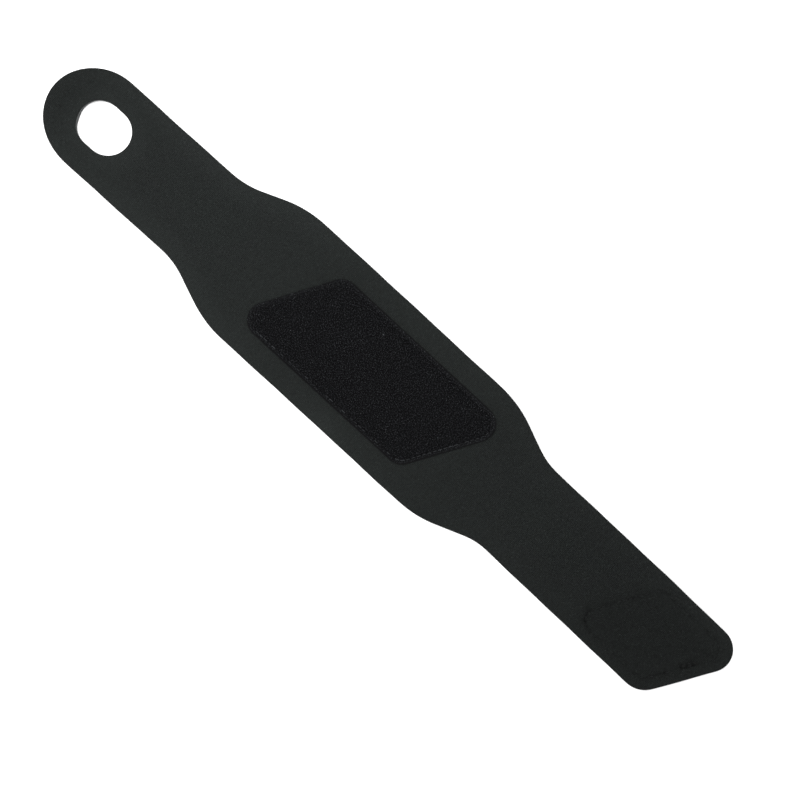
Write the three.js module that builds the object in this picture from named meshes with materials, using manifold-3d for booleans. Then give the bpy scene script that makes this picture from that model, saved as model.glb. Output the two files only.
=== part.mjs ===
// A wrist brace lying flat: one die-cut wrap of fabric-faced foam rubber, with a thumb hole at
// one end and a slanted strap at the other, a patch of loop tape sewn on its outer face, and a
// patch of hook tape sewn under the strap end, which the strap steps up over.
//
// Millimetres. X runs along the wrap from the thumb hole to the strap end, Y across it, and Z up
// from the surface that it lies on. The origin is at the middle of its underside.

import * as THREE from "three";
import { mergeVertices } from "three/addons/utils/BufferGeometryUtils.js";
import Module from "manifold-3d";

// The wrap
const WRAP_THICKNESS = 3;
const THUMB_STRAP_WIDTH = 50.2;
const BODY_WIDTH = 74.6;
const STRAP_WIDTH = 50.9;
const BOW_DEPTH = 1.9; // how far the wrap's two ends lie to the -Y side of its middle
const BOW_REACH = 215; // where along X that depth is reached
const BOW_MIDDLE = 0.15; // the middle's own place along +Y, which centres the wrap on the origin
const THUMB_TIP_AT = -215.15; // the end of the half-round thumb end
const THUMB_TURN_AT = { upper: -188.3, lower: -185.8 }; // where its two edges begin to turn
const STRAP_END_AT = 208.2; // where the slanted cut crosses the midline
const STRAP_END_SLANT = 31.5; // degrees from straight across
const STRAP_TIP_RADIUS = 11; // the sharp corner of the cut
const STRAP_HEEL_RADIUS = 13.5; // its blunt corner

// Where the two edges of the wrap turn, from the thumb end to the strap end
const EDGE_TURNS = [
  { at: -114.6, width: THUMB_STRAP_WIDTH, radius: 46 },
  { at: -83.7, width: BODY_WIDTH, radius: 56 },
  { at: 55.3, width: BODY_WIDTH, radius: 59 },
  { at: 84.9, width: STRAP_WIDTH, radius: 33 },
];

// The thumb hole, a slot with round ends
const HOLE_AT = -183.3;
const HOLE_LENGTH = 29.1;
const HOLE_WIDTH = 23.5;

// The two sewn patches, cut on the slant from tape
const SEAT_GAP = 0.3; // between a patch and the wrap
const LOOP_PATCH = { at: -7.4, length: 110.6, width: 50.8, slant: 30.5, radius: 8.8, thickness: 1.7 };
const HOOK_PATCH = { at: 178.4, length: 50, width: 43, slant: STRAP_END_SLANT, radius: 8, thickness: 1.7 };

// The step of the strap over the hook patch
const STEP_HEIGHT = HOOK_PATCH.thickness + SEAT_GAP;
const STEP_LENGTH = 20;
const STEP_CLEARANCE = 1.5; // from the top of the step to the hook patch

const CURVE_SEGMENTS = 10; // three.js draws an arc with twice as many chords

const wasm = await Module();
wasm.setup();

// How far a line cut on the slant moves along X for each millimetre across.
function slope(degrees) {
  return Math.tan(THREE.MathUtils.degToRad(degrees));
}

// Adds to a path the arc that rounds one of its corners, and the straight line up to that arc.
function addRoundedCorner(path, before, corner, after) {
  const point = new THREE.Vector2(corner.x, corner.y);
  const back = new THREE.Vector2(before.x, before.y).sub(point).normalize();
  const ahead = new THREE.Vector2(after.x, after.y).sub(point).normalize();
  const halfAngle = Math.acos(back.dot(ahead)) / 2;
  const tangentLength = corner.radius / Math.tan(halfAngle);
  const toCentre = back.clone().add(ahead).normalize();
  const centre = point.clone().addScaledVector(toCentre, corner.radius / Math.sin(halfAngle));
  const start = point.clone().addScaledVector(back, tangentLength).sub(centre);
  const end = point.clone().addScaledVector(ahead, tangentLength).sub(centre);
  const turnsRight = back.cross(ahead) > 0;
  path.absarc(centre.x, centre.y, corner.radius, start.angle(), end.angle(), turnsRight);
}

function addRoundedCorners(path, corners) {
  for (let i = 1; i < corners.length - 1; i += 1) {
    addRoundedCorner(path, corners[i - 1], corners[i], corners[i + 1]);
  }
}

// The wrap's outline seen from above, with the thumb hole in it.
function wrapOutline() {
  const edge = EDGE_TURNS.map(({ at, width, radius }) => ({ x: at, y: width / 2, radius }));
  const thumbHalf = THUMB_STRAP_WIDTH / 2;
  const thumbUpper = { x: THUMB_TURN_AT.upper, y: thumbHalf };
  const thumbLower = { x: THUMB_TURN_AT.lower, y: -thumbHalf };
  const mirrored = (corner) => ({ ...corner, y: -corner.y });
  const lean = (STRAP_WIDTH / 2) * slope(STRAP_END_SLANT);
  const heel = { x: STRAP_END_AT - lean, y: -STRAP_WIDTH / 2, radius: STRAP_HEEL_RADIUS };
  const tip = { x: STRAP_END_AT + lean, y: STRAP_WIDTH / 2, radius: STRAP_TIP_RADIUS };

  const outline = new THREE.Shape();
  const quarterTurn = Math.PI / 2;
  [thumbUpper, thumbLower].forEach(({ x }, i) => {
    const start = (i + 1) * quarterTurn;
    outline.absellipse(x, 0, x - THUMB_TIP_AT, thumbHalf, start, start + quarterTurn);
  });
  addRoundedCorners(outline, [
    thumbLower,
    ...edge.map(mirrored),
    heel,
    tip,
    ...edge.toReversed(),
    thumbUpper,
  ]);
  outline.holes.push(thumbHole());
  return outline;
}

function thumbHole() {
  const radius = HOLE_WIDTH / 2;
  const toEnd = HOLE_LENGTH / 2 - radius;
  const hole = new THREE.Path();
  hole.absarc(HOLE_AT + toEnd, 0, radius, -Math.PI / 2, Math.PI / 2);
  hole.absarc(HOLE_AT - toEnd, 0, radius, Math.PI / 2, (3 * Math.PI) / 2);
  return hole;
}

// A patch cut on the slant with rounded corners, seen from above.
function patchOutline({ at, length, width, slant, radius }) {
  const lean = (width / 2) * slope(slant);
  const corners = [
    { x: at - length / 2 - lean, y: -width / 2, radius },
    { x: at + length / 2 - lean, y: -width / 2, radius },
    { x: at + length / 2 + lean, y: width / 2, radius },
    { x: at - length / 2 + lean, y: width / 2, radius },
  ];
  const outline = new THREE.Shape();
  addRoundedCorners(outline, [corners.at(-1), ...corners, corners[0]]);
  return outline;
}

// The wrap seen from its side: flat, then an S-bend of two equal arcs up to the hook patch.
function wrapSide(reach) {
  const radius = (STEP_LENGTH ** 2 + STEP_HEIGHT ** 2) / (4 * STEP_HEIGHT);
  const sweep = Math.asin(STEP_LENGTH / 2 / radius);
  const inner = radius - WRAP_THICKNESS / 2;
  const outer = radius + WRAP_THICKNESS / 2;
  const top = HOOK_PATCH.at - HOOK_PATCH.length / 2 - STEP_CLEARANCE;
  const foot = { x: top - STEP_LENGTH, y: WRAP_THICKNESS / 2 + radius };
  const head = { x: top, y: WRAP_THICKNESS / 2 + STEP_HEIGHT - radius };
  const up = Math.PI / 2;

  const side = new THREE.Shape();
  side.moveTo(-reach, 0);
  side.lineTo(foot.x, 0);
  side.absarc(foot.x, foot.y, outer, -up, -up + sweep);
  side.absarc(head.x, head.y, inner, up + sweep, up, true);
  side.lineTo(reach, STEP_HEIGHT);
  side.lineTo(reach, STEP_HEIGHT + WRAP_THICKNESS);
  side.absarc(head.x, head.y, outer, up, up + sweep);
  side.absarc(foot.x, foot.y, inner, -up + sweep, -up, true);
  side.lineTo(-reach, WRAP_THICKNESS);
  return side;
}

function extrude(shape, depth) {
  return new THREE.ExtrudeGeometry(shape, { depth, bevelEnabled: false, curveSegments: CURVE_SEGMENTS });
}

function solidFrom(geometry) {
  geometry.deleteAttribute("normal");
  geometry.deleteAttribute("uv");
  const merged = mergeVertices(geometry);
  return new wasm.Manifold(
    new wasm.Mesh({
      numProp: 3,
      vertProperties: new Float32Array(merged.attributes.position.array),
      triVerts: new Uint32Array(merged.index.array),
    }),
  );
}

function geometryFrom(solid) {
  const { vertProperties, triVerts } = solid.getMesh();
  const geometry = new THREE.BufferGeometry();
  geometry.setAttribute("position", new THREE.BufferAttribute(vertProperties, 3));
  geometry.setIndex(new THREE.BufferAttribute(triVerts, 1));
  return geometry;
}

// Bends a straight piece along the wrap's slightly bowed midline.
function bow(geometry) {
  const position = geometry.attributes.position;
  for (let i = 0; i < position.count; i += 1) {
    const share = position.getX(i) / BOW_REACH;
    position.setY(i, position.getY(i) + BOW_MIDDLE - BOW_DEPTH * share ** 2);
  }
  geometry.computeVertexNormals();
  return geometry;
}

// The wrap is a sheet with the side view's step, sheared so that the step runs along the hook
// patch's slanted edge, and cut to the outline.
function wrapGeometry() {
  const reach = STRAP_END_AT + STRAP_WIDTH;
  const across = BODY_WIDTH + STRAP_WIDTH;
  const sheet = extrude(wrapSide(reach), across);
  sheet.rotateX(Math.PI / 2);
  sheet.translate(0, across / 2, 0);
  sheet.applyMatrix4(new THREE.Matrix4().makeShear(0, 0, slope(HOOK_PATCH.slant), 0, 0, 0));
  const cutter = extrude(wrapOutline(), 4 * WRAP_THICKNESS);
  cutter.translate(0, 0, -WRAP_THICKNESS);
  return bow(geometryFrom(solidFrom(sheet).intersect(solidFrom(cutter))));
}

function patchGeometry(patch, underside) {
  const geometry = extrude(patchOutline(patch), patch.thickness);
  geometry.translate(0, 0, underside);
  return bow(geometry);
}

function piece(name, geometry, look) {
  const mesh = new THREE.Mesh(geometry, new THREE.MeshStandardMaterial({ metalness: 0, ...look }));
  mesh.name = name;
  return mesh;
}

const wristBrace = new THREE.Group();
wristBrace.add(
  piece("wrap", wrapGeometry(), { color: "#2a2d2c", roughness: 0.85 }),
  piece("loop_patch", patchGeometry(LOOP_PATCH, WRAP_THICKNESS + SEAT_GAP), {
    color: "#19191a",
    roughness: 0.95,
  }),
  piece("hook_patch", patchGeometry(HOOK_PATCH, 0), { color: "#1c1d1d", roughness: 0.6 }),
);

export default wristBrace;
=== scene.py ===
# %% [markdown]
# # A wrist brace, dressed over its CAD frame
#
# The brace is one flat wrap of foam rubber faced with black jersey. A patch of loop tape is sewn on its
# outer face, and a patch of hook tape under the strap end. The CAD frame holds the real sizes, so each
# piece below starts from a node of the frame and stays where that node is.
#
# Lengths in this lesson are millimetres, because that is how a maker would say them. `MM` turns them into
# Blender's metres at the last moment, when a mesh is made.

# %% Load the frame
import math

import bpy
import numpy as np
from mathutils.geometry import delaunay_2d_cdt
from mathutils.kdtree import KDTree
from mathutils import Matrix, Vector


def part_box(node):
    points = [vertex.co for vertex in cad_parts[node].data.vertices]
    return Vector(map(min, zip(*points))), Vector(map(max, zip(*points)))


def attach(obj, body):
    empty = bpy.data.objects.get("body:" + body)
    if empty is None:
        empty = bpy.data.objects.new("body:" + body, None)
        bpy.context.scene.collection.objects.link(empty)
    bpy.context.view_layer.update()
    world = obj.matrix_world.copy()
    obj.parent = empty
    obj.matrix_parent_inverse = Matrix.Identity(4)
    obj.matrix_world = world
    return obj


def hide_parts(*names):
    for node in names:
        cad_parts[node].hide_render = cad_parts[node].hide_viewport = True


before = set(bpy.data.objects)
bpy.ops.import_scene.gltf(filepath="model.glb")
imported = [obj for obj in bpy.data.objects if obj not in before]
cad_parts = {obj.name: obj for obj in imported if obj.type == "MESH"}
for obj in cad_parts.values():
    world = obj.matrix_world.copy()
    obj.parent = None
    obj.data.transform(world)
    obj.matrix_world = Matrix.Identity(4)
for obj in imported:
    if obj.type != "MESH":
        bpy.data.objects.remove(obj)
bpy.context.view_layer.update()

MM = 0.001
print("CAD nodes:", sorted(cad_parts))

# %% [markdown]
# ## The cut lines
#
# A steel-rule die cuts the wrap and both patches, so each has one clean outline. We could draw those
# outlines again, but then two files would hold the same sizes. The frame already has them: the rim of a
# node's upward faces is the line that the die followed. The importer splits vertices at hard edges, so
# places are compared after rounding.

# %% Read the cut lines from the frame
FACES_UP = 0.5  # the least upward part of the normal of a face on the upper side


def cut_lines(node):
    """Closed outlines of a CAD node seen from above, the outer one anticlockwise and a hole clockwise."""
    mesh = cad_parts[node].data
    places = np.array([v.co for v in mesh.vertices]) / MM
    places, same = np.unique(places.round(3), axis=0, return_inverse=True)
    steps = {}
    for face in mesh.polygons:
        if face.normal.z > FACES_UP:
            corners = [int(same[v]) for v in face.vertices]
            steps.update(dict.fromkeys(zip(corners, corners[1:] + corners[:1])))
    rim = {a: b for a, b in steps if (b, a) not in steps}
    loops = []
    while rim:
        at, loop = next(iter(rim)), []
        while at in rim:
            loop.append(at)
            at = rim.pop(at)
        loops.append(places[loop][:, :2])
    return sorted(loops, key=len, reverse=True)


def spaced(loop, step, passes=4):
    """The closed loop with points a step apart, and the corners between CAD facets eased away."""
    closed = np.vstack([loop, loop[:1]])
    along = np.concatenate([[0], np.cumsum(np.linalg.norm(np.diff(closed, axis=0), axis=1))])
    count = round(along[-1] / step)
    at = np.arange(count) * along[-1] / count
    points = np.stack([np.interp(at, along, closed[:, k]) for k in (0, 1)], axis=1)
    for _ in range(passes):
        points = (np.roll(points, 1, 0) + 2 * points + np.roll(points, -1, 0)) / 4
    return points


def leftward(loop):
    """Unit vectors to the left of the loop's direction, which is into the material."""
    along = np.roll(loop, -1, 0) - np.roll(loop, 1, 0)
    along /= np.linalg.norm(along, axis=1)[:, None]
    return np.stack([-along[:, 1], along[:, 0]], axis=1)


def inset(loop, distance):
    return loop + leftward(loop) * np.reshape(distance, (-1, 1))


def flat_area(loops):
    """Square metres inside the outer loop and outside the holes."""
    return sum(float(np.cross(loop, np.roll(loop, -1, 0)).sum()) / 2 for loop in loops) * MM**2


# %% [markdown]
# ## The edge gives a little
#
# Foam bulges away from the blade while it is cut, so a real edge wavers by about a tenth of a millimetre. A
# few sine waves, centimetres long and with whole numbers of cycles, do that without a break where the loop
# closes. The tapes are thin and firm, so their cut lines stay as they are.

# %% Cut the three outlines
EDGE_STEP = 0.8
FINE_STEP = EDGE_STEP / 2  # along the smaller outlines
WAVER = 0.04  # of each wave
WAVES = {196: 0.4, 89: 2.1, 43: 4.0, 26.5: 1.2}  # the length of each wave and its phase


def wavering(loop, step):
    turn = np.arange(len(loop)) * 2 * np.pi / len(loop)
    counts = {max(1, round(len(loop) * step / wave)): phase for wave, phase in WAVES.items()}
    return inset(loop, WAVER * sum(np.sin(n * turn + phase) for n, phase in counts.items()))


outer_line, hole_line = cut_lines("wrap")
wrap_cut = [
    wavering(spaced(outer_line, EDGE_STEP), EDGE_STEP),
    wavering(spaced(hole_line, FINE_STEP), FINE_STEP),
]
print(f"the wrap's edge is {len(wrap_cut[0]) * EDGE_STEP:.0f} mm long")
loop_cut = [spaced(loop, FINE_STEP) for loop in cut_lines("loop_patch")]
hook_cut = [spaced(loop, FINE_STEP) for loop in cut_lines("hook_patch")]
for name, loops in (("wrap", wrap_cut), ("loop patch", loop_cut), ("hook patch", hook_cut)):
    print(f"{name}: {len(loops)} cut lines, {flat_area(loops) / MM**2:.0f} square mm")

# %% [markdown]
# ## The two seams
#
# A lockstitch holds each patch: an upper thread on the patch and a bobbin thread on the wrap's other face,
# and both go down at the same needle holes. So a seam is worked out once, as a track inside the patch's
# edge with needle holes along it, and both threads and the dents in the foam use it.

# %% Lay out the needle holes
SEAM_INSET = 2.0
STITCH_LENGTH = 2.7
TRACK_STEP = 0.3


def seam(cut):
    """The sewing line inside a patch's edge, and the needle holes along it."""
    track = spaced(inset(cut[0], SEAM_INSET), TRACK_STEP, passes=0)
    count = round(len(track) * TRACK_STEP / STITCH_LENGTH)
    return track, track[np.linspace(0, len(track), count, endpoint=False).astype(int)]


loop_track, loop_holes = seam(loop_cut)
hook_track, hook_holes = seam(hook_cut)
print(f"{len(loop_holes)} stitches round the loop patch, {len(hook_holes)} round the hook patch")

# %% [markdown]
# Much below depends on how far a place is from an edge or a seam. A k-d tree answers that quickly, and these
# helpers turn a row of points into a function of places.

# %% Helpers that measure distances
def tree_of(points):
    tree = KDTree(len(points))
    for i, (x, y) in enumerate(points):
        tree.insert((x, y, 0), i)
    tree.balance()
    return tree


def nearest_of(track):
    """A function of places: the number of the track's point that is nearest to each, and its distance."""
    tree = tree_of(track)

    def find(places):
        found = [tree.find((x, y, 0)) for x, y in places]
        return np.array([row[1] for row in found]), np.array([row[2] for row in found])

    return find


def distance_to(track):
    find = nearest_of(track)
    return lambda places: find(places)[1]


def distance_from(places, spot):
    return np.linalg.norm(places - spot["at"], axis=1)


def eased(value, start, end):
    """0 before start, 1 after end, and a smooth S between them."""
    share = np.clip((value - start) / (end - start), 0, 1)
    return share * share * (3 - 2 * share)


def bell(distance, reach):
    """1 at no distance, falling smoothly towards 0 beyond reach."""
    return np.exp(-((distance / reach) ** 2))


from_edge = distance_to(wrap_cut[0])
from_any_edge = distance_to(np.concatenate(wrap_cut))
nearest_loop_edge, from_loop_edge = nearest_of(loop_cut[0]), distance_to(loop_cut[0])
from_loop_seam, from_hook_seam = distance_to(loop_track), distance_to(hook_track)
nearest_loop_hole, nearest_hook_hole = nearest_of(loop_holes), nearest_of(hook_holes)
print(f"the loop patch's seam lies {from_edge(loop_track).min():.1f} mm or more from the wrap's edge")

# %% [markdown]
# A machine never pulls two stitches quite alike, so each needle hole gets a tension of its own. Most of the
# hook patch's stitches lie slack. They are tighter on the side that faces the body, tighter still where the
# machine turned along the strap's lower edge, and tightest at the back-tack, where the seam starts and ends
# and a few stitches are sewn over each other.

# %% Set the tension of each stitch
LOOP_TENSION = (0.4, 1.0)
SLACKNESS = 2  # the higher this power, the fewer tight stitches round the hook patch
STRAP_SLANT = math.tan(math.radians(31.5))  # of the hook patch's ends: mm along for each mm across
BODY_SIDE_DEPTH, BODY_SIDE_EXTRA = 2.0, 0.4
SEAM_CORNERS = [
    {"at": (150.0, -17.5), "reach": 4.0, "extra": 1.2},
    {"at": (191.0, -16.5), "reach": 8.5, "extra": 1.0},
]
BACK_TACK = {"at": (200.9, -0.4), "reach": 3.6, "tension": 2.0}
BACK_TACK_SHIFTS = np.array([[-0.5, 0.3], [-1.1, 0.6]])  # of its extra rows of stitches from the first


def up_the_strap(places):
    """How far each place is along the strap, measured on the slant of the hook patch's ends."""
    return places[:, 0] - STRAP_SLANT * places[:, 1]


rng = np.random.default_rng(7)
loop_tension = rng.uniform(*LOOP_TENSION, len(loop_holes))
hook_tension = rng.random(len(hook_holes)) ** SLACKNESS
holes_up = up_the_strap(hook_holes)
hook_tension[holes_up < holes_up.min() + BODY_SIDE_DEPTH] += BODY_SIDE_EXTRA
for corner in SEAM_CORNERS:
    hook_tension[distance_from(hook_holes, corner) < corner["reach"]] += corner["extra"]
in_back_tack = distance_from(hook_holes, BACK_TACK) < BACK_TACK["reach"]
hook_tension[in_back_tack] = BACK_TACK["tension"]
print(f"{in_back_tack.sum()} holes in the back-tack")

# %% [markdown]
# ## How the wrap lies
#
# Foam rubber is not a plate. It steps up over the hook patch, sags again where the strap overhangs that
# patch, ripples a little because the sewn patch holds it, and is pulled thin along each seam. A cloth
# simulation would give much the same, but here every height is a plain function of the place, so the
# patches, threads and pile can ask for the same surface and always fit.

# %% Heights of the wrap's two faces
WRAP_THICKNESS = 3.0
STEP_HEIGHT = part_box("wrap")[1].z / MM - WRAP_THICKNESS
STEP_LENGTH = 20.0
STEP_BEFORE_PATCH = 1.5
SAG, SAG_REACH = 0.35, 5.0
RIPPLE = 0.05
RIPPLES = [  # waves of the lying foam
    {"along": 61.0, "across": 140.0, "phase": 0.6},
    {"along": 97.0, "across": -85.0, "phase": 2.4},
    {"along": 38.0, "across": 70.0, "phase": 4.4},
]
GROOVE_WIDTH, HOLE_WIDTH = 1.1, 0.55

step_head = up_the_strap(hook_cut[0]).min() - STEP_BEFORE_PATCH
step_foot = step_head - STEP_LENGTH


def lying(places):
    """Height of the wrap's underside before any seam pulls it."""
    x, y = places.T
    raised = eased(up_the_strap(places), step_foot, step_head)
    ripple = sum(
        1 + np.sin(2 * np.pi * (x / wave["along"] + y / wave["across"]) + wave["phase"]) for wave in RIPPLES
    )
    sag = SAG * eased(-from_edge(places), -SAG_REACH, 0)
    return raised * (STEP_HEIGHT - sag) + (1 - raised) * RIPPLE * ripple


def seam_dent(from_seam, nearest_hole, tension):
    """A function of places: the depth of a seam's groove, with a deeper dimple at each needle hole."""

    def dent(places, groove, hole):
        number, distance = nearest_hole(places)
        dimple = hole * tension[number] * bell(distance, HOLE_WIDTH)
        return groove * bell(from_seam(places), GROOVE_WIDTH) + dimple

    return dent


loop_seam_dent = seam_dent(from_loop_seam, nearest_loop_hole, loop_tension)
hook_seam_dent = seam_dent(from_hook_seam, nearest_hook_hole, hook_tension)


def outer_face(places):
    dent = loop_seam_dent(places, groove=0.35, hole=0.2) + hook_seam_dent(places, groove=0.22, hole=0.5)
    return lying(places) + WRAP_THICKNESS - dent


def inner_face(places):
    return lying(places) + loop_seam_dent(places, groove=0.3, hole=0.25)


print(f"the strap steps up {STEP_HEIGHT:.1f} mm, from {step_foot:.1f} to {step_head:.1f} mm along")

# %% [markdown]
# ## A closed sheet with a cut edge
#
# The wrap and both tapes are sheets with thickness. A Solidify modifier would give them square edges and one
# wall, but a laminate shows its layers where it is cut. So the sheet is built from three parts: the plan is
# filled with triangles by a constrained Delaunay triangulation, which takes any outline with holes, that
# fill is used for both faces, and rings that follow a small edge section join them.

# %% Helpers that fill a plan and close a sheet
EDGE_CLEARANCE, ROW_CLEARANCE = 0.9, 0.6  # from the grid to an outline and a seam's rows, in grid steps
ROW_STEP = 0.55


def inside(places, loops):
    """Whether each place lies within the loops: a ray from it then crosses them an odd number of times."""
    x, y = places.T
    odd = np.zeros(len(places), bool)
    for loop in loops:
        for (ax, ay), (bx, by) in zip(loop, np.roll(loop, -1, 0)):
            if ay != by:
                odd ^= ((ay > y) != (by > y)) & (x < ax + (y - ay) * (bx - ax) / (by - ay))
    return odd


def plan_points(loops, step, tracks=(), track_rows=()):
    """Points to fill a plan: a triangular grid, with rows along each seam track where the foam is dented."""
    low, high = loops[0].min(0), loops[0].max(0)
    xs, ys = np.arange(low[0], high[0], step), np.arange(low[1], high[1], step * math.sqrt(3) / 2)
    grid = np.array([(x + step / 2 * (j % 2), y) for j, y in enumerate(ys) for x in xs])
    grid = grid[inside(grid, loops)]
    grid = grid[distance_to(np.concatenate(loops))(grid) > EDGE_CLEARANCE * step]
    rows = []
    for track in tracks:
        grid = grid[distance_to(track)(grid) > max(track_rows) + ROW_CLEARANCE * step]
        rows += [spaced(inset(track, offset), ROW_STEP, passes=0) for offset in track_rows]
    return np.concatenate([grid, *rows])


def fill(rims, points):
    """Triangles between the rims, with the points among their corners, as numbers into all of them."""
    edges, start = [], 0
    for rim in rims:
        edges += [(start + i, start + (i + 1) % len(rim)) for i in range(len(rim))]
        start += len(rim)
    places = np.concatenate([*rims, points])
    within_outline = 1
    found = delaunay_2d_cdt(places.tolist(), edges, [], within_outline, 1e-6)
    triangles = np.array([[found[3][corner][0] for corner in face] for face in found[2]])
    return triangles[inside(places[triangles].mean(axis=1), rims)].tolist()


def sheet(loops, points, upper, lower, section, lean=None):
    """Vertices and faces of a closed sheet, and the number of the ring that each wall face starts at.

    section lists rings from the upper face to the middle of the wall, each with its inset and its drop
    below the face. lean gives how far the foot of the wall stands out at each point of a loop."""
    rings = [(row["inset"], row["drop"], True) for row in section]
    rings += [(row["inset"], row["drop"], False) for row in reversed(section)]
    rims = [inset(loop, section[0]["inset"]) for loop in loops]
    vertices, top, bottom, walls, wall_rings = [], [], [], [], []
    start = 0
    for loop in loops:
        n = len(loop)
        foot = lean(loop) if lean else 0
        for k, (distance, drop, is_upper) in enumerate(rings):
            ring = inset(loop, distance - foot * k / (len(rings) - 1))
            height = upper(ring) - drop if is_upper else lower(ring) + drop
            vertices.append(np.column_stack([ring, height]))
            if k + 1 < len(rings):
                this, below = start + k * n, start + (k + 1) * n
                walls += [(this + i, below + i, below + (i + 1) % n, this + (i + 1) % n) for i in range(n)]
                wall_rings += [k] * n
        top += range(start, start + n)
        bottom += range(start + (len(rings) - 1) * n, start + len(rings) * n)
        start += len(rings) * n
    for face, indices in ((upper, top), (lower, bottom)):
        vertices.append(np.column_stack([points, face(points)]))
        indices += range(start, start + len(points))
        start += len(points)
    triangles = fill(rims, points)
    faces = [[top[i] for i in t] for t in triangles] + [[bottom[i] for i in reversed(t)] for t in triangles]
    return np.concatenate(vertices), faces + walls, [-1] * len(faces) + wall_rings


# %% [markdown]
# ## From arrays to pieces
#
# Every piece is made the same way: vertices in millimetres become a mesh in metres, the shading is smooth
# except at real edges, and the piece rides on the frame's one body, since nothing on the brace is hinged.

# %% Helpers that make a piece and tone it
SHARP_ANGLE = math.radians(50)


def make_piece(name, vertices, faces, slot, materials, face_materials=None):
    mesh = bpy.data.meshes.new(name)
    mesh.from_pydata(np.asarray(vertices) * MM, [], faces)
    for material in materials:
        mesh.materials.append(material)
    if face_materials is not None:
        mesh.polygons.foreach_set("material_index", np.asarray(face_materials, np.int32))
    mesh.shade_smooth()
    mesh.set_sharp_from_angle(angle=SHARP_ANGLE)
    piece = bpy.data.objects.new(name, mesh)
    bpy.context.scene.collection.objects.link(piece)
    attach(piece, "root")
    triangles = sum(len(p.vertices) - 2 for p in mesh.polygons)
    print(f"{name}: {len(mesh.vertices)} vertices, {triangles} triangles")
    return piece


def set_tone(piece, name, values):
    """Gives each vertex of the piece a number that a material can read."""
    attribute = piece.data.attributes.new(name, "FLOAT", "POINT")
    attribute.data.foreach_set("value", np.asarray(values, np.float32))
    print(f"{piece.name}: {name} from {np.min(values):.2f} to {np.max(values):.2f}")


# %% [markdown]
# ## Materials: colours and nodes
#
# Colours are written as the sRGB hex values that a colour picker shows, and turned to the linear numbers
# that Cycles works with. One helper adds a node, sets its options and fills its inputs, from a value or from
# another node's output.

# %% Colour and node helpers
def linear(hex_colour):
    channels = [int(hex_colour[i : i + 2], 16) / 255 for i in (1, 3, 5)]
    return (*[c / 12.92 if c <= 0.04045 else ((c + 0.055) / 1.055) ** 2.4 for c in channels], 1)


def add(tree, kind, inputs=None, **settings):
    node = tree.nodes.new("ShaderNode" + kind)
    for name, value in settings.items():
        setattr(node, name, value)
    for socket, value in (inputs or {}).items():
        if isinstance(value, bpy.types.NodeSocket):
            tree.links.new(value, node.inputs[socket])
        else:
            node.inputs[socket].default_value = value
    return node


def start_material(name):
    """A new material, its empty node tree, and the place of a point in millimetres for its patterns."""
    material = bpy.data.materials.new(name)
    material.use_nodes = True
    tree = material.node_tree
    tree.nodes.clear()
    place = add(tree, "TexCoord").outputs["Object"]
    place_mm = add(tree, "Mapping", {"Vector": place, "Scale": (1 / MM, 1 / MM, 1 / MM)}).outputs["Vector"]
    return material, tree, place_mm


def finish_material(tree, look):
    shader = add(tree, "BsdfPrincipled", look)
    add(tree, "OutputMaterial", {"Surface": shader.outputs["BSDF"]})


# %% [markdown]
# ## Polyamide jersey, knitted and laminated on foam
#
# The face of the wrap is a fine weft knit glued to foam. It gives the eye a matte, even black with a slight
# grain: columns of small V-shaped stitches, broken up by a fuzz of fibre ends. The knit's valleys are painted
# a little darker, as painted shade, and a few paler flecks are painted glints, where fibre ends catch the
# light. In the picture the courses come about 0.8 mm apart along the wrap and the columns about 0.7 mm apart
# across it, a pixel and a half, so they only just show. A mesh attribute holds painted light and shade, and
# it shifts the shade of the fuzz up or down.

# %% Jersey material
WALE, COURSE = 0.725, 0.795
COURSE_DEPTH = 1.6  # of a course against that of the valley between two columns
FUZZ_SIZE = 0.42
FUZZ_DEPTH = 3.0  # against the same valley
FUZZ_SHARE, KNIT_SHARE, PAINTED_LIGHT_SHARE = 0.78, 0.046, 0.225  # in the shade
GRAIN_TILT = (0.5, 0.7, 0.3)  # so that the flat face doesn't cut the noise along a plane of its own grid
SHADE_FROM, SHADE_TO = 0.5, 1.02
GLINTS_FROM, GLINTS_TO = 0.66, 0.82  # of the fuzz


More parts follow.
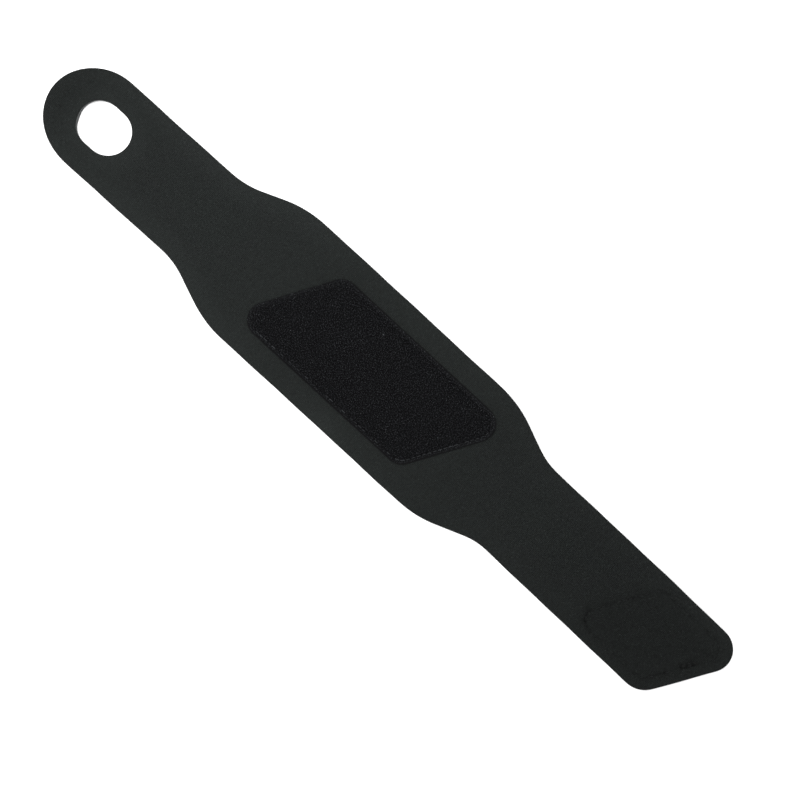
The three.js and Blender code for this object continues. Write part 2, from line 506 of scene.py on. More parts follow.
def jersey_material():
    material, tree, place = start_material("polyamide jersey, knitted and laminated")
    axes = add(tree, "SeparateXYZ", {"Vector": place}).outputs
    wale = add(tree, "Math", {0: axes["Y"], 1: 1 / WALE}, operation="MULTIPLY").outputs[0]
    course = add(tree, "Math", {0: axes["X"], 1: 1 / COURSE}, operation="MULTIPLY").outputs[0]
    leg = add(tree, "Math", {0: wale, 1: 0.5}, operation="PINGPONG").outputs[0]
    slanted = add(tree, "Math", {0: course, 1: leg}, operation="ADD").outputs[0]
    turn = add(tree, "Math", {0: slanted, 1: 2 * math.pi}, operation="MULTIPLY").outputs[0]
    stitch = add(tree, "Math", {0: turn}, operation="SINE").outputs[0]
    across = add(tree, "Math", {0: leg, 1: 2 * math.pi}, operation="MULTIPLY").outputs[0]
    column = add(tree, "Math", {0: across}, operation="COSINE").outputs[0]
    knit = add(tree, "Math", {0: stitch, 1: COURSE_DEPTH, 2: column}, operation="MULTIPLY_ADD").outputs[0]
    tilted = add(tree, "Mapping", {"Vector": place, "Rotation": GRAIN_TILT}).outputs["Vector"]
    grain = {"Vector": tilted, "Scale": 1 / FUZZ_SIZE, "Detail": 2, "Roughness": 0.6}
    fuzz = add(tree, "TexNoise", grain).outputs["Fac"]
    height = add(tree, "Math", {0: fuzz, 1: FUZZ_DEPTH, 2: knit}, operation="MULTIPLY_ADD").outputs[0]
    bump = add(tree, "Bump", {"Height": height, "Strength": 0.5, "Distance": 0.06 * MM}).outputs["Normal"]
    softened = {"Value": fuzz, "To Min": 0.5 - FUZZ_SHARE / 2, "To Max": 0.5 + FUZZ_SHARE / 2}
    soft_fuzz = add(tree, "MapRange", softened).outputs["Result"]
    # Painted shade: the knit's valleys are made a little darker in colour.
    lit = add(tree, "Math", {0: knit, 1: KNIT_SHARE, 2: soft_fuzz}, operation="MULTIPLY_ADD").outputs[0]
    # Painted light and shade: the mesh attribute raises or lowers the shade of the fuzz.
    nap_and_painted_light = add(tree, "Attribute", attribute_name="painted_light_and_shade").outputs["Fac"]
    raised = add(tree, "Math", {0: nap_and_painted_light, 1: PAINTED_LIGHT_SHARE, 2: lit}, operation="MULTIPLY_ADD").outputs[0]
    span = {"Value": raised, "From Min": SHADE_FROM, "From Max": SHADE_TO}
    shade = add(tree, "MapRange", span).outputs["Result"]
    dye = {"Factor": shade, "A": linear("#000000"), "B": linear("#242726")}
    dyed = add(tree, "Mix", dye, data_type="RGBA").outputs["Result"]
    # Painted glints: where the fuzz is highest the colour turns paler, as fibre ends that catch the light.
    span = {"Value": fuzz, "From Min": GLINTS_FROM, "From Max": GLINTS_TO}
    ends = add(tree, "MapRange", span).outputs["Result"]
    glinted = {"Factor": ends, "A": dyed, "B": linear("#363a39")}
    colour = add(tree, "Mix", glinted, data_type="RGBA").outputs["Result"]
    rough = add(tree, "MapRange", {"Value": fuzz, "To Min": 0.78, "To Max": 0.95}).outputs["Result"]
    look = {"Base Color": colour, "Roughness": rough, "Normal": bump, "IOR": 1.53}
    look |= {"Specular IOR Level": 0.06, "Sheen Weight": 0.016, "Sheen Roughness": 0.5}
    finish_material(tree, look)
    return material


jersey = jersey_material()
print("made", jersey.name)

# %% [markdown]
# ## Closed-cell foam rubber, die-cut
#
# The core shows only at the cut edge. A blade leaves the cells open there, so it is paler than the jersey,
# dull, and pitted with pores of about a quarter of a millimetre.

# %% Foam material
PORE = 0.25


def foam_material():
    material, tree, place = start_material("closed-cell foam rubber, die-cut")
    pores = add(tree, "TexVoronoi", {"Vector": place, "Scale": 1 / PORE}).outputs["Distance"]
    bump = add(tree, "Bump", {"Height": pores, "Strength": 0.6, "Distance": 0.1 * MM}).outputs["Normal"]
    # Painted shade: each pore's hollow is painted darker than the cell walls round it.
    tones = {"Factor": pores, "A": linear("#3c3d3d"), "B": linear("#5a5b5b")}
    colour = add(tree, "Mix", tones, data_type="RGBA").outputs["Result"]
    look = {"Base Color": colour, "Roughness": 0.9, "Normal": bump, "IOR": 1.5, "Specular IOR Level": 0.2}
    finish_material(tree, look)
    return material


foam = foam_material()
print("made", foam.name)

# %% [markdown]
# ## The wrap
#
# The edge section below is the laminate seen at its cut. The jersey rolls over the corner and stands a tenth
# of a millimetre past the blade's line, and the foam between the two jerseys sits a little behind it. Only
# the rings of the core get the foam material. The blade went through the thumb hole at a slight angle, so
# part of the hole's wall slopes into view and another part leans away.

# %% Make the wrap
WRAP_EDGE = [
    {"inset": 0.68, "drop": 0.00},
    {"inset": 0.28, "drop": 0.06},
    {"inset": 0.02, "drop": 0.22},
    {"inset": -0.10, "drop": 0.46},
    {"inset": -0.12, "drop": 0.66},
    {"inset": 0.01, "drop": 0.72},
    {"inset": -0.02, "drop": 1.30},
]
FOAM_FROM = 4  # the ring of the edge section where the jersey ends
FOAM_TO = 2 * len(WRAP_EDGE) - 1 - FOAM_FROM  # and the ring where the other jersey begins
WRAP_GRID = 1.7
DENT_ROWS = (-1.8, -1.2, -0.8, -0.4, 0, 0.4, 0.8, 1.2, 1.8)
HOLE_LEANS = [  # how far the foot of the hole's wall stands into the hole
    {"at": (-196.7, -6.2), "reach": 4.8, "by": 0.95},
    {"at": (-195.9, 5.5), "reach": 5.0, "by": -0.45},
]


def wall_lean(loop):
    return sum(lean["by"] * bell(distance_from(loop, lean), lean["reach"]) for lean in HOLE_LEANS)


wrap_points = plan_points(wrap_cut, WRAP_GRID, [loop_track, hook_track], DENT_ROWS)
wrap_vertices, wrap_faces, wrap_rings = sheet(
    wrap_cut, wrap_points, outer_face, inner_face, WRAP_EDGE, wall_lean
)
is_foam = [FOAM_FROM <= ring < FOAM_TO for ring in wrap_rings]
wrap = make_piece("foam_wrap", wrap_vertices, wrap_faces, "foam_rubber_laminate", [jersey, foam], is_foam)
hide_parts("wrap")

# %% [markdown]
# ## Painted light and shade on the jersey
#
# The jersey is one cloth, but the picture shows it lighter in some places than in others, and that light and
# shade is painted into its colour. Painted light makes it lighter within about 15 mm of its edges, where the
# strap's upper edge tilts to the light, and in a spot of sheen beside the loop patch. It is darker along the
# length towards both ends, with painted shade where the light falls off towards the strap end, and darker
# over the hook tape. Painted shade darkens the creases of tight stitches and the back-tack. The amounts below
# follow the picture, and the causes named are our best guess.

# %% Paint light and shade on the jersey
# Painted light: near every edge (less of it along the body), on the strap's upper edge, and in a spot of
# sheen.
EDGE_LIGHT, EDGE_LIGHT_REACH = 0.26, 15
EDGE_LIGHT_LESS, BODY_START = 0.15, (-75, -40)  # less of that from where the body starts
STRAP_EDGE_LIGHT, STRAP_EDGE_ALONG, STRAP_EDGE_ACROSS = 0.14, (105, 190), (8, 22)
SHEEN_SPOT = {"at": (-8, -36), "along": 14, "across": 7, "by": 0.28}
# Darker along the length towards both ends: painted shade towards the strap end, where the light falls off.
DARKENED = [  # along X, each from nothing to its full amount
    {"start": -75, "end": -45, "by": 0.06},
    {"start": 25, "end": 65, "by": 0.1},
    {"start": 95, "end": 130, "by": 0.1},
    {"start": 135, "end": 150, "by": 0.07},
    {"start": -160, "end": -185, "by": 0.05},
    {"start": -192, "end": -210, "by": 0.2},
]
# Darker over the hook tape and for a few millimetres round it.
OVER_HOOK, OVER_HOOK_REACH = 0.13, 5
# Painted shade in the creases of tight stitches and at the back-tack.
CREASE_SHADE, CREASE_REACH = 0.34, 0.6
TACK_SHADE, TACK_REACH = 0.6, 1.3
tack_holes = np.concatenate([hook_holes[in_back_tack] + shift for shift in BACK_TACK_SHIFTS])
from_back_tack = distance_to(tack_holes)


def painted_light_and_shade(places):
    """Painted light and shade at each place: above 1 where lighter, below 1 where darker, 1 where nothing is
    painted.
    """
    x, y = places.T
    at_edge = 1 - eased(from_any_edge(places), 0, EDGE_LIGHT_REACH)
    edge_light = (EDGE_LIGHT - EDGE_LIGHT_LESS * eased(x, *BODY_START)) * at_edge
    tilted = STRAP_EDGE_LIGHT * eased(x, *STRAP_EDGE_ALONG) * eased(y, *STRAP_EDGE_ACROSS)
    off = (places - SHEEN_SPOT["at"]) / (SHEEN_SPOT["along"], SHEEN_SPOT["across"])
    sheen_spot = SHEEN_SPOT["by"] * bell(np.linalg.norm(off, axis=1), 1)
    darkened = sum(row["by"] * eased(x, row["start"], row["end"]) for row in DARKENED)
    seam_distance = from_hook_seam(places)
    over_hook = np.where(inside(places, [hook_track]), 1.0, 1 - eased(seam_distance, 0, OVER_HOOK_REACH))
    crease_shade = bell(seam_distance, CREASE_REACH) * hook_tension[nearest_hook_hole(places)[0]]
    tack_shade = bell(from_back_tack(places), TACK_REACH)
    # Painted light raises the tone and painted shade lowers it.
    lightened = (1 + edge_light + sheen_spot + tilted) * (1 - darkened)
    return lightened * (1 - OVER_HOOK * over_hook) * (1 - CREASE_SHADE * crease_shade) * (1 - TACK_SHADE * tack_shade)


set_tone(wrap, "painted_light_and_shade", painted_light_and_shade(wrap_vertices[:, :2]))

# %% [markdown]
# ## Tubes, for every thread, loop and hook
#
# Threads, pile and hooks are all thin bent tubes. Thousands of curve objects would be slow, so one helper
# builds any number of closed tubes as a single mesh, from an array of paths that all have the same number of
# points. Another joins such sets into one.

# %% Helpers for joined tubes
def tubes(paths, side, radius, sides):
    """Vertices and faces of closed tubes, from a row of points for each and a vector square to it."""
    count, points, _ = paths.shape
    along = np.gradient(paths, axis=1)
    along /= np.linalg.norm(along, axis=2, keepdims=True)
    out = np.cross(np.broadcast_to(side[:, None], paths.shape), along)
    out /= np.linalg.norm(out, axis=2, keepdims=True)
    across = np.cross(along, out)
    turn = np.arange(sides) * 2 * np.pi / sides
    ring = out[:, :, None] * np.cos(turn)[:, None] + across[:, :, None] * np.sin(turn)[:, None]
    vertices = paths[:, :, None] + ring * radius
    number = np.arange(count * points * sides).reshape(count, points, sides)
    ahead = np.roll(number, -1, axis=2)
    quads = np.stack([number[:, :-1], ahead[:, :-1], ahead[:, 1:], number[:, 1:]], axis=-1).reshape(-1, 4)
    ends = np.concatenate([number[:, 0, ::-1], number[:, -1]])
    return vertices.reshape(-1, 3), quads.tolist() + ends.tolist()


def joined(rows):
    """One set of vertices and faces from several."""
    vertices, faces, start = [], [], 0
    for row_vertices, row_faces in rows:
        faces += [[corner + start for corner in face] for face in row_faces]
        vertices.append(row_vertices)
        start += len(row_vertices)
    return np.concatenate(vertices), faces


# %% [markdown]
# ## Polyester sewing thread, twisted
#
# Sewing thread is three fine plies twisted together. Black polyester filament is smoother than the fabrics,
# so it glints along each stitch, and that is how the seam shows against the dark pile. That glint is partly
# painted: a mesh attribute makes a stitch's colour paler as well as its surface smoother, less so where the
# stitch lies deep or under the pile.

# %% Thread material
def thread_material():
    material, tree, _ = start_material("polyester sewing thread, twisted")
    painted_glint = add(tree, "Attribute", attribute_name="painted_glint").outputs["Fac"]
    # Painted glint: the colour grows paler as the attribute rises.
    tones = {"Factor": painted_glint, "A": linear("#080909"), "B": linear("#343638")}
    colour = add(tree, "Mix", tones, data_type="RGBA").outputs["Result"]
    rough = add(tree, "MapRange", {"Value": painted_glint, "To Min": 0.75, "To Max": 0.4}).outputs["Result"]
    look = {"Base Color": colour, "Roughness": rough, "IOR": 1.57, "Specular IOR Level": 0.2}
    finish_material(tree, look)
    return material


thread = thread_material()
print("made", thread.name)

# %% [markdown]
# ## Polyamide tape, woven
#
# Both tapes are close plain weaves of black polyamide, with threads about half a millimetre apart. They give
# the eye little: nearly black, with painted shade under the pile or hooks, and slightly lighter at the
# margin, where the flat weave lies open and out of that shade. An image of a weave would do, but two sine
# waves that cross make one of the right size. A mesh attribute says where the painted shade gives way to the
# open weave.

# %% Woven tape material
THREAD_SPACING = 0.5
TONE_SIZE = 1.25


def tape_material():
    material, tree, place = start_material("polyamide tape, woven")
    axes = add(tree, "SeparateXYZ", {"Vector": place}).outputs
    turns = 2 * math.pi / (2 * THREAD_SPACING)
    warp = add(tree, "Math", {0: axes["Y"], 1: turns}, operation="MULTIPLY").outputs[0]
    weft = add(tree, "Math", {0: axes["X"], 1: turns}, operation="MULTIPLY").outputs[0]
    warp_wave = add(tree, "Math", {0: warp}, operation="SINE").outputs[0]
    weft_wave = add(tree, "Math", {0: weft}, operation="SINE").outputs[0]
    weave = add(tree, "Math", {0: warp_wave, 1: weft_wave}, operation="MULTIPLY").outputs[0]
    tone = add(tree, "TexNoise", {"Vector": place, "Scale": 1 / TONE_SIZE, "Detail": 3}).outputs["Fac"]
    bump = add(tree, "Bump", {"Height": weave, "Strength": 0.5, "Distance": 0.08 * MM}).outputs["Normal"]
    # Painted shade: the ground is painted darker, as under the pile or hooks, with a random tone.
    tones = {"Factor": tone, "A": linear("#020203"), "B": linear("#060607")}
    shaded = add(tree, "Mix", tones, data_type="RGBA").outputs["Result"]
    # At the open margin the painted shade gives way to a lighter colour.
    unshaded_weave = add(tree, "Attribute", attribute_name="open_weave_unshaded").outputs["Fac"]
    open_weave = {"Factor": unshaded_weave, "A": shaded, "B": linear("#09090a")}
    colour = add(tree, "Mix", open_weave, data_type="RGBA").outputs["Result"]
    rough = add(tree, "MapRange", {"Value": tone, "To Min": 0.6, "To Max": 0.8}).outputs["Result"]
    look = {"Base Color": colour, "Roughness": rough, "Normal": bump, "IOR": 1.53, "Specular IOR Level": 0.03}
    finish_material(tree, look)
    return material


tape = tape_material()
print("made", tape.name)

# %% [markdown]
# ## The loop tape's ground
#
# Loop tape is woven about 50 mm wide, with pile almost to its edges. The ground is a thin sheet that follows
# the wrap's outer face, sinks with it at the seam, and lifts very slightly at its free edge. A Shrinkwrap
# modifier could press it on the wrap, but asking for the same heights makes it fit without one.

# %% Make the loop tape
TAPE_THICKNESS = 0.6
TAPE_SEAT = 0.03  # so that a tape lies on the wrap and not in it
TAPE_GRID = 1.5
TAPE_DENT_ROWS = (-1.2, -0.8, -0.4, 0, 0.4, 0.8, 1.2)
TAPE_EDGE = [
    {"inset": 0.30, "drop": 0.00},
    {"inset": 0.09, "drop": 0.05},
    {"inset": 0.00, "drop": 0.20},
]
EDGE_LIFT, LIFT_REACH = 0.12, 1.4
MARGIN, MARGIN_END = 0.6, 1.4


def loop_tape_under(places):
    lifted = EDGE_LIFT * eased(-from_loop_edge(places), -LIFT_REACH, 0)
    return outer_face(places) + TAPE_SEAT + lifted


def loop_tape_over(places):
    return loop_tape_under(places) + TAPE_THICKNESS


loop_points = plan_points(loop_cut, TAPE_GRID, [loop_track], TAPE_DENT_ROWS)
loop_vertices, loop_faces, _ = sheet(loop_cut, loop_points, loop_tape_over, loop_tape_under, TAPE_EDGE)
loop_tape = make_piece("loop_tape", loop_vertices, loop_faces, "loop_tape", [tape])
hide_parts("loop_patch")
# The margin's open weave, out of the painted shade of the pile.
set_tone(loop_tape, "open_weave_unshaded", 1 - eased(from_loop_edge(loop_vertices[:, :2]), MARGIN, MARGIN_END))

# %% [markdown]
# ## Polyamide loop pile, napped
#
# The pile drinks light: a soft, deep black in which single loops catch a little grey. Each loop carries a
# number that the material turns into a darker or lighter colour: painted light and shade, spread at random
# over the loops. A number over 1 is allowed, for a few loops that are much paler.

# %% Pile material
NAP_SIZE = 2.9


def pile_material():
    material, tree, place = start_material("polyamide loop pile, napped")
    loop_tone = add(tree, "Attribute", attribute_name="loop_tone_and_painted_light").outputs["Fac"]
    nap_and_painted_light = add(tree, "TexNoise", {"Vector": place, "Scale": 1 / NAP_SIZE, "Detail": 3}).outputs["Fac"]
    # Painted light and shade of each loop: black for a loop in shade, grey for one that catches the light.
    tones = {"Factor": loop_tone, "A": linear("#000000"), "B": linear("#3e4042")}
    colour = add(tree, "Mix", tones, data_type="RGBA", clamp_factor=False).outputs["Result"]
    rough = add(tree, "MapRange", {"Value": nap_and_painted_light, "To Min": 0.5, "To Max": 0.75}).outputs["Result"]
    look = {"Base Color": colour, "Roughness": rough, "IOR": 1.53, "Specular IOR Level": 0.02}
    finish_material(tree, look)
    return material


pile = pile_material()
print("made", pile.name)

# %% [markdown]
# ## The pile of loops
#
# The tape's face is thousands of small nylon loops. A particle system could scatter them, but here the pile
# has to stop short of an edge and a seam on one side and lie over them on the other. So a jittered grid of
# feet is sorted by where each foot stands. The pile was brushed one way, towards two of the patch's edges: it
# covers the margin and the seam there, and leaves them bare along the other two.

# %% Place the loops' feet
LOOP_SPACING = 0.56
FOOT_JITTER = 0.2  # in spacings
BARE_GAP = 0.3  # between a foot and a bare edge or seam
BRUSHED = np.array([-0.5, 0.87])  # the way that the pile was brushed
BARE_FACING, COVERED_FACING = -0.3, 0.5  # how far a bare edge and a covered one face that way


def covered(places):
    """1 where the brushed pile lies over the patch's nearest edge, 0 where it lies away from it."""
    outward = -leftward(loop_cut[0])[nearest_loop_edge(places)[0]]
    return eased(outward @ BRUSHED, BARE_FACING, COVERED_FACING)


def pile_feet():
    feet = plan_points(loop_cut, LOOP_SPACING)
    feet = feet + rng.uniform(-FOOT_JITTER, FOOT_JITTER, feet.shape) * LOOP_SPACING
    gap = BARE_GAP * (1 - covered(feet))
    return feet[(from_loop_edge(feet) > gap) & (from_loop_seam(feet) > gap)]


feet = pile_feet()
print(f"{len(feet)} loops")

# %% [markdown]
# Each loop's tone is painted light and shade: pale for a loop that would catch the light, dark for one in the
# shade of others. Light and dark loops are well mixed on the tape, so that no patches of tone show from afar:
# a dark loop among light ones is made darker, and a light one among dark ones lighter. Raising that to a
# power leaves most loops dark. Loops that the sewing pressed flat, outside the seam, get more painted light,
# as if they faced upwards.

# %% Tone the loops
NEIGHBOURS = 9
TONE_POWER = 1.8
EDGE_LOOP_LIGHT, EDGE_LOOP_LIGHT_TO, EDGE_LOOP_LIGHT_END = 0.2, 1.6, 2.4
PALE_LOOPS, PALE_TONE = 6, 3.2


def mixed_tones(feet):
    """A tone for each loop, 0 to 1, measured against the mean of its neighbours."""
    tones = rng.random(len(feet))
    tree = tree_of(feet)
    near = [[row[1] for row in tree.find_n((x, y, 0), NEIGHBOURS)] for x, y in feet]
    return (0.5 + tones - tones[near].mean(axis=1)).clip(0, 1)


# Painted light on the loops near the patch's edge.
edge_loop_light = 1 - eased(from_loop_edge(feet), EDGE_LOOP_LIGHT_TO, EDGE_LOOP_LIGHT_END)
tones = mixed_tones(feet) ** TONE_POWER + EDGE_LOOP_LIGHT * edge_loop_light
# A few loops are made much paler.
tones[rng.choice(len(feet), PALE_LOOPS, replace=False)] = PALE_TONE
print(f"mean tone {tones.mean():.2f}")

# %% [markdown]
# Each loop is an arch of yarn that leans and twists by its own random amount, and all of them bend the way
# that they were brushed. A loop is about a pixel wide in the picture, so five points and three sides are
# enough. The pile is made in three pieces, so that no mesh gets too heavy.

# %% Grow the loops
LOOP_HEIGHT, LOOP_SPAN = 0.5, 0.24
HEIGHT_RANGE, SPAN_RANGE = (0.75, 1.2), (0.6, 1.2)
LOWEST_AT_SEAM, LOW_TO, FULL_FROM = 0.55, 0.2, 1.6  # share of the height, and distances from the seam
LEAN, MOST_LEAN = 0.35, 0.9  # radians
SKEW = 0.08
BRUSHED_BY = 0.24
FOOT_SINK = 0.12
ARCH_POINTS = 5
YARN_RADIUS, YARN_SIDES = 0.085, 3


def loops_at(feet):
    """Paths of the loops, and a vector square to each."""
    count = len(feet)
    arch = np.linspace(0, np.pi, ARCH_POINTS)
    low = LOWEST_AT_SEAM + (1 - LOWEST_AT_SEAM) * eased(from_loop_seam(feet), LOW_TO, FULL_FROM)
    high = LOOP_HEIGHT * low * rng.uniform(*HEIGHT_RANGE, count)
    wide = LOOP_SPAN * rng.uniform(*SPAN_RANGE, count)
    heading = rng.uniform(0, np.pi, count)
    lean = rng.normal(0, LEAN, count).clip(-MOST_LEAN, MOST_LEAN)
    skew = rng.normal(0, SKEW, count)
    ahead = np.stack([np.cos(heading), np.sin(heading), np.zeros(count)], axis=1)
    square = np.stack([-np.sin(heading), np.cos(heading), np.zeros(count)], axis=1)
    up = np.stack([square[:, 0] * np.sin(lean), square[:, 1] * np.sin(lean), np.cos(lean)], axis=1)
    base = np.column_stack([feet, loop_tape_over(feet) - FOOT_SINK])
    path = base[:, None] - ahead[:, None] * (np.cos(arch) * wide[:, None] / 2)[..., None]
    path += up[:, None] * (np.sin(arch) * high[:, None])[..., None]
    path += square[:, None] * (np.sin(2 * arch) * skew[:, None])[..., None]
    path[:, :, :2] += BRUSHED * (np.sin(arch) * BRUSHED_BY)[:, None]
    return path, np.cross(ahead, up)


def grow_pile(name, feet, tones):
    vertices, faces = tubes(*loops_at(feet), YARN_RADIUS, YARN_SIDES)
    piece = make_piece(name, vertices, faces, "loop_tape", [pile])
    # Each loop gets its tone of painted light and shade.
    set_tone(piece, "loop_tone_and_painted_light", np.repeat(tones, len(vertices) // len(feet)))
    return piece


thirds = np.quantile(feet[:, 0], (1 / 3, 2 / 3))
third = np.searchsorted(thirds, feet[:, 0])
names = ("loop_pile_thumb_side", "loop_pile_middle", "loop_pile_strap_side")
piles = [grow_pile(name, feet[third == i], tones[third == i]) for i, name in enumerate(names)]

# %% [markdown]
# ## Stitches
#
# A stitch comes up through one needle hole, lies along the surface and goes down the next. Each is three
# plies, so its path is drawn three times, wound round itself. Some stitches stand prouder than others, and
# those get more painted glint.

# %% Helpers that sew
PLIES, PLY_TURNS = 3, 2.5
STITCH_POINTS, PLY_SIDES = 11, 4
THREAD_RADIUS, PLY_RADIUS = 0.1, 0.095
STITCH_SINK = 0.5


def sew(start, end, face, sign, rise):
    """Stitches from each start to its end. sign is 1 on an upward face and -1 on a downward one, and rise is
    how far the middle of each stitch stands above the face."""
    share = (1 - np.cos(np.linspace(0, np.pi, STITCH_POINTS))) / 2
    plan = start[:, None] + (end - start)[:, None] * share[:, None]
    surface = face(plan.reshape(-1, 2)).reshape(plan.shape[:2])
    hump = (rise[:, None] + STITCH_SINK) * np.sqrt(np.sin(np.pi * share)) - STITCH_SINK
    middle = np.concatenate([plan, (surface + sign * hump)[..., None]], axis=2)
    ahead = np.concatenate([end - start, np.zeros((len(start), 1))], axis=1)
    ahead /= np.linalg.norm(ahead, axis=1)[:, None]
    up = np.array([0, 0, 1.0])
    square = np.cross(up, ahead)
    plies = []
    for ply in range(PLIES):
        turn = 2 * np.pi * (ply / PLIES + PLY_TURNS * share)
        wound = square[:, None] * np.cos(turn)[:, None] + up * np.sin(turn)[:, None]
        plies.append(middle + THREAD_RADIUS * wound)
    return tubes(np.concatenate(plies), np.concatenate([square] * PLIES), PLY_RADIUS, PLY_SIDES)


def stitch_row(holes, ends, face, sign, lowest, highest, painted_glint):
    """A row of stitches that rise from lowest to highest, and how much painted glint each of their vertices
    gets.
    """
    proud = rng.random(len(holes))
    row = sew(holes, ends, face, sign, lowest + (highest - lowest) * proud)
    return row, np.repeat(np.tile(painted_glint * proud, PLIES), STITCH_POINTS * PLY_SIDES)


def make_seam(name, slot, rows):
    made, painted_glint = zip(*rows)
    piece = make_piece(name, *joined(made), slot, [thread])
    set_tone(piece, "painted_glint", np.concatenate(painted_glint))
    return piece


# %% [markdown]
# The loop patch is sewn first. Its stitches show along the two bare edges, and the brushed pile hides those
# along the other two.

# %% Sew the loop patch
UP, DOWN = 1, -1
loop_ends = np.roll(loop_holes, -1, 0)
hidden = covered(loop_holes)
# Less painted glint where the brushed pile hides the stitches.
highest, painted_glint = 0.25 - 0.25 * hidden, 1.0 - 0.85 * hidden
loop_seam = make_seam(
    "loop_patch_stitches",
    "loop_tape",
    [
        stitch_row(loop_holes, loop_ends, loop_tape_over, UP, lowest=-0.1, highest=highest, painted_glint=painted_glint),
        stitch_row(loop_holes, loop_ends, inner_face, DOWN, lowest=-0.1, highest=0.05, painted_glint=0.4),
    ],
)

# %% [markdown]
# The hook tape lies under the strap, and only its own stitches dent it. On the strap's outer face they sink
# into the jersey, so they show as a dotted crease more than as thread, except at the back-tack.

# %% Sew the hook patch
def hook_tape_over(places):
    return lying(places) - TAPE_SEAT


def hook_tape_under(places):
    return hook_tape_over(places) - TAPE_THICKNESS + hook_seam_dent(places, groove=0.12, hole=0.08)


hook_ends = np.roll(hook_holes, -1, 0)
tack_ends = np.concatenate([hook_ends[in_back_tack] + shift for shift in BACK_TACK_SHIFTS])
hook_seam = make_seam(
    "hook_patch_stitches",
    "hook_tape",
    [
        stitch_row(hook_holes, hook_ends, outer_face, UP, lowest=-0.22, highest=0.05, painted_glint=0.1),
        stitch_row(hook_holes, hook_ends, hook_tape_under, DOWN, lowest=0.02, highest=0.12, painted_glint=0.6),
        stitch_row(tack_holes, tack_ends, outer_face, UP, lowest=-0.02, highest=0.08, painted_glint=0.0),
        stitch_row(tack_holes, tack_ends, hook_tape_under, DOWN, lowest=0.02, highest=0.12, painted_glint=0.6),
    ],
)

# %% [markdown]
# ## Polyamide monofilament, cut into hooks
#
# Hooks are bent from a stiff, smooth filament about 0.2 mm thick, which gives a harder, brighter glint than
# the fabrics. It faces the table here, so only a low view or a view from below shows it.

# %% Hook material
FILAMENT_TONE_SIZE = 3.3


def hook_material():
    material, tree, place = start_material("polyamide monofilament, cut into hooks")
    mottle = {"Vector": place, "Scale": 1 / FILAMENT_TONE_SIZE, "Detail": 2}
    tone = add(tree, "TexNoise", mottle).outputs["Fac"]
    tones = {"Factor": tone, "A": linear("#141415"), "B": linear("#242526")}
    colour = add(tree, "Mix", tones, data_type="RGBA").outputs["Result"]
    rough = add(tree, "MapRange", {"Value": tone, "To Min": 0.3, "To Max": 0.45}).outputs["Result"]
    look = {"Base Color": colour, "Roughness": rough, "IOR": 1.53}
    finish_material(tree, look)
    return material


monofilament = hook_material()
print("made", monofilament.name)

# %% [markdown]
# ## The hook tape
#
# Its ground is woven like the loop tape's. The hooks start as loops of filament, and each loop is cut on one
# side. That leaves a hook beside a short stub, in straight rows that face alternate ways. One hook could be
# modelled and copied, but each is only a bent wire, so the helper for tubes draws all of them as one mesh.

# %% Make the hook tape
hook_points = plan_points(hook_cut, TAPE_GRID, [hook_track], TAPE_DENT_ROWS)
hook_vertices, hook_faces, _ = sheet(hook_cut, hook_points, hook_tape_over, hook_tape_under, TAPE_EDGE)
hook_tape = make_piece("hook_tape", hook_vertices, hook_faces, "hook_tape", [tape])
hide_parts("hook_patch")

# %% Make the hooks
HOOK_PITCH, HOOK_ROW = 1.5, 1.35
SEAM_GAP, EDGE_GAP = 0.7, 1.0
HOOK_LEG, HOOK_CURL, HOOK_TURN = 0.88, 0.3, math.radians(215)
CURL_POINTS = 8
STUB_LEG, STUB_APART, STUB_SLOPE = 0.75, 2.4 * HOOK_CURL, 0.08
WIRE_RADIUS, WIRE_SIDES = 0.09, 5
WIRE_SINK = 0.1
HEADING_SPREAD = 0.15  # radians


def hook_feet():
    """Places of the hooks, and which way along its row each one faces."""
    low, high = hook_cut[0].min(0), hook_cut[0].max(0)
    xs, ys = np.arange(low[0], high[0], HOOK_PITCH), np.arange(low[1], high[1], HOOK_ROW)
    odd = [j % 2 for j in range(len(ys))]
    feet = np.array([(x + HOOK_PITCH / 2 * odd[j], y) for j, y in enumerate(ys) for x in xs])
    facing = np.repeat(1 - 2 * np.array(odd), len(xs))
    kept = inside(feet, hook_cut) & (from_hook_seam(feet) > SEAM_GAP)
    kept &= distance_to(hook_cut[0])(feet) > EDGE_GAP
    return feet[kept], facing[kept]


def bent_wires(feet, facing, across, down):
    """Paths of wires that start at each foot: across is along the row, and down is away from the tape."""
    heading = rng.normal(0, HEADING_SPREAD, len(feet))
    ahead = np.stack([facing * np.cos(heading), facing * np.sin(heading), np.zeros(len(feet))], axis=1)
    base = np.column_stack([feet, hook_tape_under(feet) + WIRE_SINK])
    path = base[:, None] + ahead[:, None] * across[:, None] - np.array([0, 0, 1.0]) * down[:, None]
    return path, np.cross(ahead, [0, 0, 1.0])


hook_places, hook_facing = hook_feet()
curl = np.linspace(0, HOOK_TURN, CURL_POINTS)
hook_across = np.concatenate([[0, 0], HOOK_CURL * (1 - np.cos(curl))])
hook_down = np.concatenate([[0, HOOK_LEG / 2], HOOK_LEG + HOOK_CURL * np.sin(curl)])
hooked = bent_wires(hook_places, hook_facing, hook_across, hook_down)
stub_places = hook_places + np.column_stack([hook_facing * STUB_APART, 0 * hook_facing])
stub_down = np.array([0, 0.5, 1]) * STUB_LEG
stubs = bent_wires(stub_places, hook_facing, -STUB_SLOPE * stub_down, stub_down)
wire_vertices, wire_faces = joined([tubes(*wires, WIRE_RADIUS, WIRE_SIDES) for wires in (hooked, stubs)])
hooks = make_piece("hooks", wire_vertices, wire_faces, "hook_tape", [monofilament])
print(f"{len(hook_places)} hooks, lowest point {wire_vertices[:, 2].min():.2f} mm")

# %% [markdown]
# ## The cut sizes
#
# The wrap and the two tapes are flat sheets, laid on the table and on each other. Each one's cut size is
# printed below.

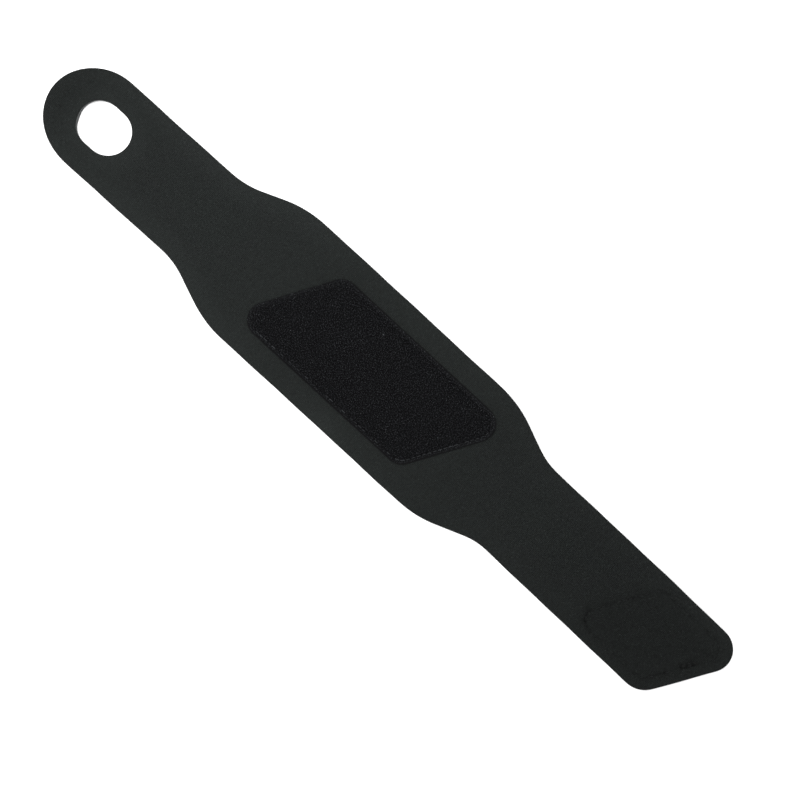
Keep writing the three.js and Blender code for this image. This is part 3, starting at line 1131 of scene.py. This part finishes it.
def cut_size(loops):
    width, length = sorted(float(v) for v in np.ptp(loops[0], axis=0) * MM)
    return width, length


for name, loops in (("wrap", wrap_cut), ("loop tape", loop_cut), ("hook tape", hook_cut)):
    print(f"{name}: cut from {cut_size(loops)[1] / MM:.1f} x {cut_size(loops)[0] / MM:.1f} mm")

# %% [markdown]
# ## The table
#
# Matt white laminate gives the eye an even, pale ground with soft shadows. It lies a little below the wrap,
# so that the two surfaces never fight for the same pixel. A plane would do, but a wide round table has no
# corner that could show in a low view.

# %% Make the floor
FLOOR_RADIUS, FLOOR_DROP, FLOOR_SIDES = 6000, 0.1, 96
turn = np.arange(FLOOR_SIDES) * 2 * np.pi / FLOOR_SIDES
rim = np.column_stack([np.cos(turn), np.sin(turn), np.zeros(FLOOR_SIDES)]) * FLOOR_RADIUS
floor_mesh = bpy.data.meshes.new("floor")
floor_mesh.from_pydata((rim - [0, 0, FLOOR_DROP]) * MM, [], [range(FLOOR_SIDES)])
floor = bpy.data.objects.new("floor", floor_mesh)
bpy.context.scene.collection.objects.link(floor)

floor_material, tree, _ = start_material("matt white laminate")
look = {"Base Color": linear("#f0f0f0"), "Roughness": 0.7, "Specular IOR Level": 0.2}
finish_material(tree, look)
floor_mesh.materials.append(floor_material)
print(f"a table {2 * FLOOR_RADIUS * MM:.0f} m across")

# %% [markdown]
# ## Light
#
# A product picture on white: a large soft box over the thumb end, a weaker one over the strap end, and a pale
# surround. Black cloth needs the soft boxes to be big, so that its grain shows with no hard glints.

# %% Make the lights
def soft_box(name, place, aim, side, power):
    data = bpy.data.lights.new(name, "AREA")
    data.shape = "SQUARE"
    data.size = side * MM
    data.energy = power
    lamp = bpy.data.objects.new(name, data)
    lamp.location = np.array(place) * MM
    x, y, z = np.array(aim) - np.array(place)
    lamp.rotation_euler = (math.atan2(np.hypot(x, y), -z), 0, math.atan2(y, x) - math.pi / 2)
    bpy.context.scene.collection.objects.link(lamp)
    print(f"{name}: {side} mm square, {power} W")


soft_box("key", place=(-330, 40, 720), aim=(-190, 20, 0), side=620, power=10.5)
soft_box("fill", place=(380, -160, 720), aim=(150, -20, 0), side=620, power=4.0)

world = bpy.data.worlds.new("pale surround")
bpy.context.scene.world = world
world.use_nodes = True
world.node_tree.nodes["Background"].inputs["Color"].default_value = (1, 1, 1, 1)
world.node_tree.nodes["Background"].inputs["Strength"].default_value = 0.5
bpy.context.scene.view_settings.view_transform = "Standard"

# %% [markdown]
# ## Camera
#
# The picture was taken from straight above, with the brace running from the upper left to the lower right.
# The inner wall of the thumb hole just shows on the far side, which puts the camera about 570 mm up.

# %% Make the camera
CAMERA_HEIGHT = 573
CAMERA_OVER = (11.9, -0.58)
PICTURE_WIDTH = 388  # at the height of the wrap's outer face
PICTURE_TURN = math.radians(42.76)
SENSOR = 36

camera_data = bpy.data.cameras.new("camera")
camera_data.sensor_width = SENSOR
camera_data.lens = SENSOR * (CAMERA_HEIGHT - WRAP_THICKNESS) / PICTURE_WIDTH
camera = bpy.data.objects.new("camera", camera_data)
camera.location = (CAMERA_OVER[0] * MM, CAMERA_OVER[1] * MM, CAMERA_HEIGHT * MM)
camera.rotation_euler = (0, 0, PICTURE_TURN)
bpy.context.scene.collection.objects.link(camera)
bpy.context.scene.camera = camera
print(f"camera lens {camera_data.lens:.1f} mm")
